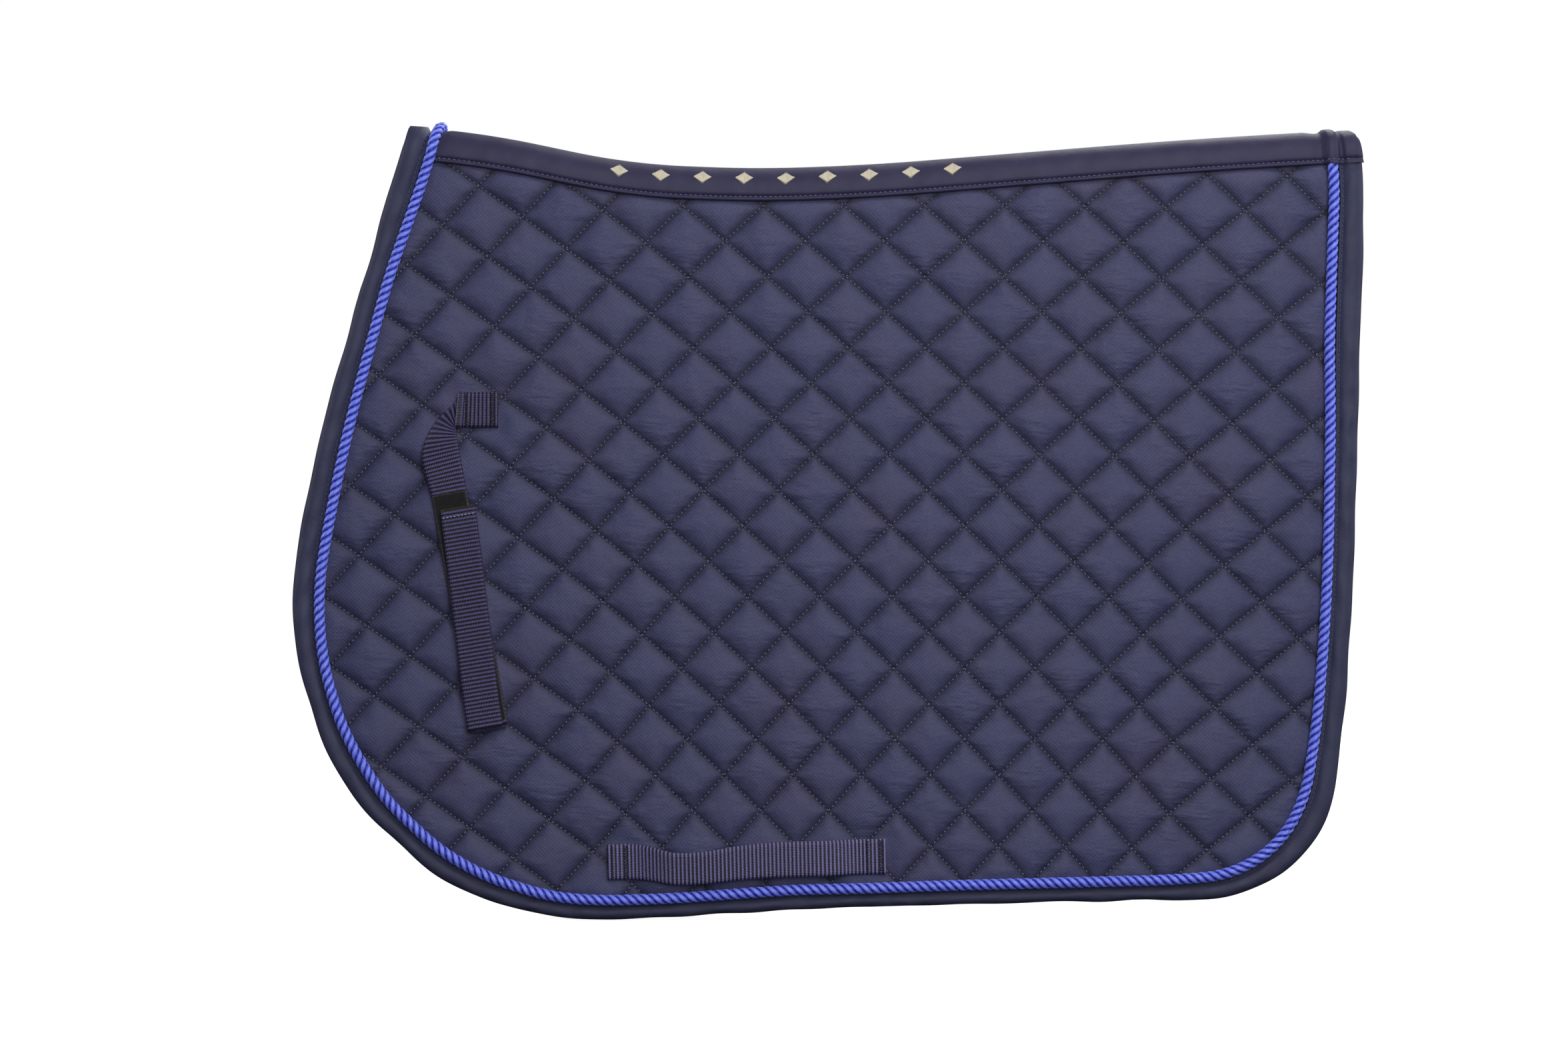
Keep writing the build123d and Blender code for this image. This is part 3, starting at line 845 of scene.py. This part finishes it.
# The flap's line, by the distance down from the corner and n: up over the strap, and round the strap's end.
FLAP_ROWS, LOOP_LEVEL, HOOK_LEVEL, FLAP_STITCH_LEVEL = 520, 8.55, 10.7, 13.45
flap_path = [(FLAP_START, 12.0), (72, 12.1), (88, 12.0), (104, 11.7)]
flap_path += [(124, 11.0), (150, 10.8), (180, 10.8), (205, 10.9)]
turn = np.linspace(0, math.pi, 14)
flap_path += [(STRAP_END + 1.75 * math.sin(t), 9.25 + 1.7 * math.cos(t)) for t in turn]
flap_line = through(flap_path, FLAP_ROWS)
flap_shift = -4.6 + 7.8 * np.clip((flap_line[:, 0] - 57) / 140, 0, 1)
flap_shift *= smooth((flap_line[:, 1] - 7.8) / 2.8)
edge_in = CORNER + DOWN * flap_line[:, :1] + ACROSS * flap_shift[:, None]
edge_out = edge_in + ACROSS * WEB_WIDTH
loop_s, hook_s = np.linspace(44.8, 208, 160), np.linspace(55.4, 110, 60)
hook_shift = np.interp(hook_s, flap_line[:400, 0], flap_shift[:400])


def tape_edges(s, shift=0.0):
    """The two edges of a tape that lies within the webbing, at distances down from the corner."""
    start = CORNER + DOWN * s[:, None] + ACROSS * (np.reshape(shift, (-1, 1)) + 0.5)
    return start, start + ACROSS * (WEB_WIDTH - 1.0)


TACK_STEP, TACK_HALF = 0.95, 1.5


def zigzag(start, end, across):
    """Starts and ends, as x and h, of a bar of zigzag stitches between two points."""
    start, end, across = np.array(start), np.array(end), np.array(across)
    count = int(np.linalg.norm(end - start) / TACK_STEP)
    share = np.linspace(0, 1, count + 1)
    line = start + (end - start) * share[:, None]
    line += across * TACK_HALF * np.where(np.arange(count + 1) % 2, 1, -1)[:, None]
    return line[:-1], line[1:]


def tacks(name, bars, level, side):
    a, b = (np.concatenate(part) for part in zip(*[zigzag(*bar) for bar in bars]))
    normals = outside_of(*((a + b) / 2).T, level, side)
    a, b = place(*a.T, level, side), place(*b.T, level, side)
    return stitches(name, a, b, normals, thickness=0.6, sunk=0.1)


GIRTH_START, GIRTH_LENGTH, GIRTH_TILT = np.array([-155.6, -528.5]), 195.0, math.radians(1.4)
girth_u = np.linspace(0, GIRTH_LENGTH, 640)
girth_run = np.array([math.cos(GIRTH_TILT), math.sin(GIRTH_TILT)])
girth_up = np.array([-math.sin(GIRTH_TILT), math.cos(GIRTH_TILT)])
off_pad = smooth((girth_u - 14) / 34) * smooth((GIRTH_LENGTH - 14 - girth_u) / 34)
dip = np.exp(-(((girth_u - 56) / 36) ** 2))
girth_low = GIRTH_START + girth_run * girth_u[:, None] - girth_up * (4.0 * dip * off_pad)[:, None]
girth_high = girth_low + girth_up * (WEB_WIDTH - 2.2 * dip * off_pad)[:, None]
girth_level = SEWN + 7.6 * off_pad

for tag, side in SIDES.items():
    half, strap_body, flap_body = tag + "_half", "strap_" + tag, "flap_" + tag
    tab = webbing("billet_tab_" + tag, (tab_low, tab_high), tab_level, side)
    strap = webbing("billet_strap_" + tag, (strap_in, strap_out), (strap_level, strap_outer_level), side)
    loop = webbing("loop_tape_" + tag, tape_edges(loop_s), LOOP_LEVEL, side, 1.2, 0.0)
    hook = webbing("hook_tape_" + tag, tape_edges(hook_s, hook_shift), HOOK_LEVEL, side, 1.1, 0.0)
    flap = webbing("billet_flap_" + tag, (edge_in, edge_out), flap_line[:, 1] - WEB_THICK / 2, side)
    bars = []
    for x in (CORNER[0] + 7.7, CORNER[0] + 25.5):
        bars.append(((x, CORNER[1] + 1), (x, CORNER[1] + WEB_WIDTH - 1), (1, 0)))
    tack = tacks("billet_tacks_" + tag, bars, SEWN + WEB_THICK + 0.35, side)
    girth_levels = (girth_level, girth_level + 3.5 * dip * off_pad)
    loop_web = webbing("girth_loop_" + tag, (girth_low, girth_high), girth_levels, side)
    bars = []
    for u in (3.2, 12.8, GIRTH_LENGTH - 12.8, GIRTH_LENGTH - 3.2):
        foot = GIRTH_START + girth_run * u + girth_up
        bars.append((foot, foot + girth_up * (WEB_WIDTH - 2), girth_run))
    girth_tack = tacks("girth_tacks_" + tag, bars, SEWN + WEB_THICK + 0.35, side)
    row = np.arange(1.6, WEB_WIDTH - 2.5, 2.6)[:, None]
    foot = edge_in[0] + DOWN * 4.6
    a, b = foot + ACROSS * row, foot + ACROSS * (row + 1.9)
    normals = outside_of(*a.T, FLAP_STITCH_LEVEL, side)
    a, b = place(*a.T, FLAP_STITCH_LEVEL, side), place(*b.T, FLAP_STITCH_LEVEL, side)
    flap_row = stitches("flap_stitches_" + tag, a, b, normals)
    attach(flap_row, flap_body)
    # Painted shade: the billet's tab, strap and flap are marked to be drawn darker than the girth loop.
    for piece in (tab, strap, flap):
        mark(piece, "Shade", np.ones(len(piece.data.vertices)))
    for piece, node, slot in ((strap, "billet_strap_", "webbing"), (flap, "billet_flap_", "webbing")):
        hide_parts(node + tag)
    stand_in(tab, "billet_tab_" + tag, half)
    stand_in(tack, "billet_tacks_" + tag, half)
    stand_in(loop, "loop_tape_" + tag, strap_body)
    stand_in(hook, "hook_tape_" + tag, flap_body)
    stand_in(loop_web, "girth_loop_" + tag, half)
    stand_in(girth_tack, "girth_tacks_" + tag, half)
    x, z = CORNER[0] * MM, (CORNER[1] + SEAT_DROP) * MM
    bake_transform(strap)
    bottom = CORNER + DOWN * (BILLET_LENGTH - 1)
    upper = bottom - DOWN * 14
    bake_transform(flap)
# Pieces that cross the fold turn within this reach of it, in metres. Each one's placement is baked into its
# mesh.
for piece, reach in ((binding, 0.006), (rope, 0.017), (band, 0.021), (tape, 0.0075)):
    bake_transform(piece)

# Every cloth layer is a sheet. Here only each side's wadding name is made.
for tag in SIDES:
    core = PREFIX + "wadding_" + tag

# ---- materials


class Cloth:
    """Builds one procedural material; textures and mixes come back as output sockets."""

    def __init__(self, name):
        self.material = bpy.data.materials.new(name)
        self.material.use_nodes = True
        self.tree = self.material.node_tree
        self.shader = self.tree.nodes["Principled BSDF"]

    def link(self, source, target):
        """Feeds a socket from an output socket, or sets its value."""
        if getattr(source, "is_output", False):
            self.tree.links.new(source, target)
        else:
            target.default_value = source

    def node(self, kind, sockets=None, **values):
        """Adds a node with its own values and with what goes into its sockets."""
        node = self.tree.nodes.new(kind)
        for key, value in values.items():
            setattr(node, key, value)
        for key, source in (sockets or {}).items():
            self.link(source, node.inputs[key])
        return node

    def attribute(self, name):
        return self.node("ShaderNodeAttribute", attribute_name=name).outputs["Fac"]

    def place_of(self, use_uv, scale=(1, 1, 1), turn=0.0):
        """Places on the flat cloth or in space, in millimetres."""
        if use_uv:
            source, factor = self.node("ShaderNodeUVMap", uv_map="Weave").outputs[0], UV_SIZE
        else:
            source, factor = self.node("ShaderNodeTexCoord").outputs["Object"], 1 / MM
        sockets = {"Vector": source, "Scale": [factor * s for s in scale], "Rotation": (0, 0, turn)}
        return self.node("ShaderNodeMapping", sockets).outputs[0]

    def wave(self, where, pitch, direction="X", distortion=0.0, detail_scale=1.0):
        sockets = {"Vector": where, "Scale": 2 * math.pi / 20 / pitch}
        sockets |= {"Distortion": distortion, "Detail Scale": detail_scale}
        return self.node("ShaderNodeTexWave", sockets, bands_direction=direction).outputs["Fac"]

    def noise(self, where, size, detail=3.0, rough=0.5):
        sockets = {"Vector": where, "Scale": 1 / size, "Detail": detail, "Roughness": rough}
        return self.node("ShaderNodeTexNoise", sockets).outputs["Fac"]

    def math(self, kind, a, b=0.0):
        return self.node("ShaderNodeMath", {0: a, 1: b}, operation=kind).outputs[0]

    def ramp(self, value, low, high, to_low=0.0, to_high=1.0):
        sockets = {"Value": value, "From Min": low, "From Max": high, "To Min": to_low, "To Max": to_high}
        return self.node("ShaderNodeMapRange", sockets).outputs[0]

    def mix(self, share, a, b, kind="MIX"):
        """Goes from a to b by share; a and b are colours or output sockets."""
        a, b = ((*value, 1) if isinstance(value, tuple) else value for value in (a, b))
        sockets = {0: share, 6: a, 7: b}
        return self.node("ShaderNodeMix", sockets, data_type="RGBA", blend_type=kind).outputs[2]

    def bump(self, height, distance, strength=1.0, below=None):
        sockets = {"Strength": strength, "Distance": distance * MM, "Height": height}
        if below is not None:
            sockets["Normal"] = below
        return self.node("ShaderNodeBump", sockets).outputs[0]

    def finish(self, colour, normal=None, roughness=0.8, specular=0.35, sheen=0.0, sheen_tint=(1, 1, 1)):
        inputs = self.shader.inputs
        self.link(colour, inputs["Base Color"])
        if normal is not None:
            self.link(normal, inputs["Normal"])
        inputs["Roughness"].default_value = roughness
        inputs["Specular IOR Level"].default_value = specular
        inputs["Sheen Weight"].default_value = sheen
        inputs["Sheen Roughness"].default_value = 0.45
        inputs["Sheen Tint"].default_value = (*sheen_tint, 1)
        return self.material


def twill(name, dark, light, warm, pitch=1.0, strength=0.5):
    """Fine twill: slanting ribs, uneven dye, yarn flecks, a little lint, and painted shade near the
    stitching.
    """
    cloth = Cloth(name)
    weave = cloth.place_of(True)
    ribs = cloth.wave(weave, pitch * 1.414, "DIAGONAL", 1.2, 0.35)
    slubs = cloth.noise(cloth.place_of(True, (0.9, 0.9, 1)), 1.1, 2.0)
    patches = cloth.noise(weave, 26.0, 2.0)
    shades = cloth.noise(cloth.place_of(True, (1, 1, 1)), 70.0, 2.0)
    lint = cloth.ramp(cloth.noise(cloth.place_of(True, (1.0, 1.6, 1)), 1.7, 1.0), 0.80, 0.86)
    colour = cloth.mix(cloth.ramp(patches, 0.3, 0.7), dark, light)
    colour = cloth.mix(cloth.ramp(shades, 0.4, 0.75, 0.0, 0.6), colour, warm)
    colour = cloth.mix(cloth.ramp(ribs, 0.0, 1.0, 0.30, 0.0), colour, tuple(0.45 * c for c in dark))
    colour = cloth.mix(cloth.ramp(slubs, 0.35, 0.75, 0.0, 0.40), colour, tuple(1.5 * c for c in light))
    grain = cloth.noise(cloth.place_of(True, (0.8, 1.2, 1)), 2.4, 2.0, 0.7)
    colour = cloth.mix(cloth.ramp(grain, 0.38, 0.62, 0.0, 0.30), colour, tuple(0.6 * c for c in dark))
    colour = cloth.mix(cloth.math("MULTIPLY", lint, 0.5), colour, (0.30, 0.32, 0.42))
    # Painted shade: the cloth darkens towards its stitching, where the quilting's valleys lie in shade.
    valley_shade = cloth.attribute("Valley")
    colour = cloth.mix(cloth.math("MULTIPLY", valley_shade, 0.98), colour, tuple(0.10 * c for c in dark))
    fine = cloth.bump(ribs, 0.10, strength)
    fine = cloth.bump(slubs, 0.12, 0.5, fine)
    creases = cloth.noise(cloth.place_of(True, (0.30, 1.0, 1), 0.45), 6.5, 2.0, 0.6)
    creased = cloth.math("MULTIPLY", creases, cloth.ramp(cloth.noise(weave, 38.0, 1.0), 0.45, 0.62))
    soft = cloth.bump(cloth.noise(weave, 9.0, 2.0), 0.6, 0.6, fine)
    soft = cloth.bump(creased, 1.6, 0.9, soft)
    return cloth.finish(colour, soft, 0.62, 0.25, 0.03, (0.55, 0.6, 1.0))


quilted = twill("quilted_twill", (0.046, 0.048, 0.114), (0.0545, 0.059, 0.134), (0.064, 0.0535, 0.115))
lining_cloth = twill("lining_cloth", (0.045, 0.046, 0.096), (0.052, 0.055, 0.110), (0.056, 0.050, 0.100), 1.1)
cloth = Cloth("binding_twill")
spot = cloth.place_of(False)
ribs = cloth.wave(spot, 0.9, "DIAGONAL", 1.0, 0.3)
patches = cloth.noise(spot, 18.0)
colour = cloth.mix(cloth.ramp(patches, 0.3, 0.7), (0.027, 0.029, 0.066), (0.037, 0.040, 0.085))
colour = cloth.mix(cloth.ramp(ribs, 0, 1, 0.25, 0), colour, (0.016, 0.017, 0.038))
on_band = cloth.attribute("Shade")
colour = cloth.mix(on_band, colour, (0.95, 0.78, 0.87), "MULTIPLY")
normal = cloth.bump(ribs, 0.1, 0.5)
normal = cloth.bump(cloth.noise(spot, 7.0, 2.0), 0.5, 0.6, normal)
binding_material = cloth.finish(colour, normal, 0.6, 0.25, 0.03, (0.6, 0.65, 1.0))

cloth = Cloth("rope_satin")
weave = cloth.place_of(True)
yarns = cloth.wave(weave, 1.0, "Y", 0.8, 0.6)
hair = cloth.noise(cloth.place_of(True, (0.25, 3.0, 1)), 1.0, 2.0)
colour = cloth.mix(yarns, (0.085, 0.105, 0.95), (0.25, 0.31, 1.0))
colour = cloth.mix(cloth.ramp(hair, 0.4, 0.7, 0, 0.5), colour, (0.32, 0.42, 1.0))
# Painted shade: the strands' colour goes nearly black where they turn in towards each other.
groove_shade = cloth.attribute("Groove")
colour = cloth.mix(cloth.ramp(groove_shade, 0.03, 0.27), colour, (0.006, 0.008, 0.32))
normal = cloth.bump(yarns, 0.22, 0.8)
normal = cloth.bump(hair, 0.12, 0.6, normal)
rope_material = cloth.finish(colour, normal, 0.32, 0.9, 0.9, (0.25, 0.33, 1.0))
cloth.shader.inputs["Specular Tint"].default_value = (0.6, 0.7, 1.0, 1)


def plain_thread(name, colour_value, light_value, roughness=0.5):
    cloth = Cloth(name)
    speckle = cloth.noise(cloth.place_of(False), 0.5, 1.0)
    colour = cloth.mix(cloth.ramp(speckle, 0.35, 0.65), colour_value, light_value)
    return cloth.finish(colour, cloth.bump(speckle, 0.1, 0.5), roughness, 0.4)


thread_material = plain_thread("quilting_thread", (0.075, 0.095, 0.235), (0.145, 0.175, 0.38))
pale_thread_material = plain_thread("pale_thread", (0.16, 0.21, 0.36), (0.28, 0.36, 0.52))
binding_thread_material = plain_thread("binding_thread", (0.035, 0.038, 0.085), (0.08, 0.085, 0.17))
satin_material = plain_thread("satin_thread", (0.52, 0.47, 0.36), (0.70, 0.65, 0.52))
tack_material = plain_thread("tack_thread", (0.006, 0.006, 0.012), (0.020, 0.020, 0.035))

cloth = Cloth("webbing")
weave = cloth.place_of(True)
rib_lines = cloth.wave(weave, RIB_PITCH, "X")
warp = cloth.wave(weave, 1.15, "Y", 0.6, 0.8)
flecks = cloth.noise(cloth.place_of(True, (0.6, 1.6, 1)), 0.7, 1.0)
billet_shade = cloth.attribute("Shade")
# Painted shade: the gaps between the ribs are drawn near black.
colour = cloth.mix(cloth.ramp(rib_lines, 0.3, 0.95), (0.006, 0.005, 0.018), (0.162, 0.140, 0.350))
colour = cloth.mix(cloth.math("MULTIPLY", warp, 0.35), colour, (0.018, 0.015, 0.036))
spots = cloth.math("MULTIPLY", cloth.ramp(flecks, 0.45, 0.75, 0, 0.55), rib_lines)
colour = cloth.mix(spots, colour, (0.22, 0.20, 0.36))
# Painted shade: the marked billet pieces are made darker than the girth loop, a shaded copy of the same
# webbing.
colour = cloth.mix(billet_shade, colour, (0.42, 0.38, 0.50), "MULTIPLY")
normal = cloth.bump(warp, 0.25, 0.8)
normal = cloth.bump(flecks, 0.12, 0.6, normal)
web_material = cloth.finish(colour, normal, 0.45, 0.35, 0.05, (0.8, 0.75, 1.0))


def pile(name, base, tip, size):
    """Short looped or hooked pile."""
    cloth = Cloth(name)
    spot = cloth.place_of(False)
    loops = cloth.noise(spot, size, 3.0, 0.7)
    colour = cloth.mix(cloth.ramp(loops, 0.35, 0.7), base, tip)
    return cloth.finish(colour, cloth.bump(loops, 0.8, 0.9), 0.95, 0.15, 0.3)


loop_material = pile("loop_pile", (0.004, 0.004, 0.004), (0.018, 0.018, 0.018), 0.7)
hook_material = pile("hook_pile", (0.010, 0.010, 0.006), (0.035, 0.034, 0.022), 0.9)
wadding_material = pile("wadding_fibre", (0.55, 0.55, 0.54), (0.75, 0.75, 0.74), 3.0)

MATERIALS = (
    (quilted, "outer_cover"),
    (lining_cloth, "lining"),
    (wadding_material, "wadding"),
    (binding_material, "edge_binding", "spine_band", "inner_spine_tape"),
    (rope_material, "rope_trim"),
    (thread_material, "quilting_thread", "cross_quilting_thread", "band_thread"),
    (binding_thread_material, "binding_thread"),
    (web_material, "billet_tab", "billet_strap", "billet_flap", "girth_loop"),
    (loop_material, "loop_tape"),
    (hook_material, "hook_tape"),
    (satin_material, "band_diamonds"),
    (pale_thread_material, "flap_stitches"),
    (tack_material, "billet_tacks", "girth_tacks"),
)
material_of = {stem: material for material, *stems in MATERIALS for stem in stems}
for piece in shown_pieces():
    stem = piece.name.removeprefix(PREFIX).removesuffix("_left").removesuffix("_right")
    piece.data.materials.clear()
    piece.data.materials.append(material_of[stem])

# ---- floor, light and camera
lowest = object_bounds()[0].z
floor = mesh_object(
    "floor",
    [(x, y, lowest - 0.0005) for x, y in ((-20, -20), (20, -20), (20, 20), (-20, 20))],
    [(0, 1, 2, 3)],
    smooth_shaded=False,
)
floor_material = Cloth("floor")
floor.data.materials.append(floor_material.finish((0.25, 0.25, 0.25, 1.0), None, 0.9, 0.1))
floor_material.shader.inputs["Emission Color"].default_value = (1, 1, 1, 1)
spot = floor_material.node("ShaderNodeTexCoord").outputs["Object"]
reach = floor_material.node("ShaderNodeVectorMath", {0: spot}, operation="LENGTH")
glow = floor_material.ramp(reach.outputs["Value"], 0.5, 1.6, 0.92, 0.995)
floor_material.link(glow, floor_material.shader.inputs["Emission Strength"])
floor.visible_diffuse = False
floor.visible_glossy = False

world = bpy.data.worlds.new("studio")
bpy.context.scene.world = world
world.use_nodes = True
world.node_tree.nodes["Background"].inputs["Color"].default_value = (1, 1, 1, 1)
world.cycles_visibility.diffuse = False
world.cycles_visibility.glossy = False


def soft_light(name, where, towards, size, power):
    data = bpy.data.lights.new(name, "AREA")
    data.shape, data.size, data.energy = "DISK", size, power
    light = bpy.data.objects.new(name, data)
    bpy.context.scene.collection.objects.link(light)
    light.location = where
    light.rotation_mode = "QUATERNION"
    light.rotation_quaternion = (Vector(towards) - Vector(where)).to_track_quat("-Z", "Y")


middle_point = Vector((-0.0322, 0, -0.238))
for tag, facing in SIDES.items():
    soft_light("key_" + tag, (0.6, facing * 1.4, 1.5), middle_point, 1.0, 25)
    soft_light("fill_" + tag, (0.3, facing * 2.5, 0.1), middle_point, 2.0, 50)
soft_light("front_end", (-2.4, 0, 0.6), middle_point, 1.5, 22)
soft_light("rear_end", (2.4, 0, 0.6), middle_point, 1.5, 22)

# The camera looks level at the near face, and its view is WIDTH_SEEN wide there.
LENS, SENSOR, WIDTH_SEEN, NEAR_FACE = 85.0, 36.0, 1.099, -0.021
camera_data = bpy.data.cameras.new("camera")
camera_data.lens, camera_data.sensor_width = LENS, SENSOR
camera = bpy.data.objects.new("camera", camera_data)
bpy.context.scene.collection.objects.link(camera)
camera.location = (middle_point.x, NEAR_FACE - WIDTH_SEEN * LENS / SENSOR, middle_point.z)
camera.rotation_euler = (math.pi / 2, 0, 0)
bpy.context.scene.camera = camera
bpy.context.scene.view_settings.view_transform = "Standard"
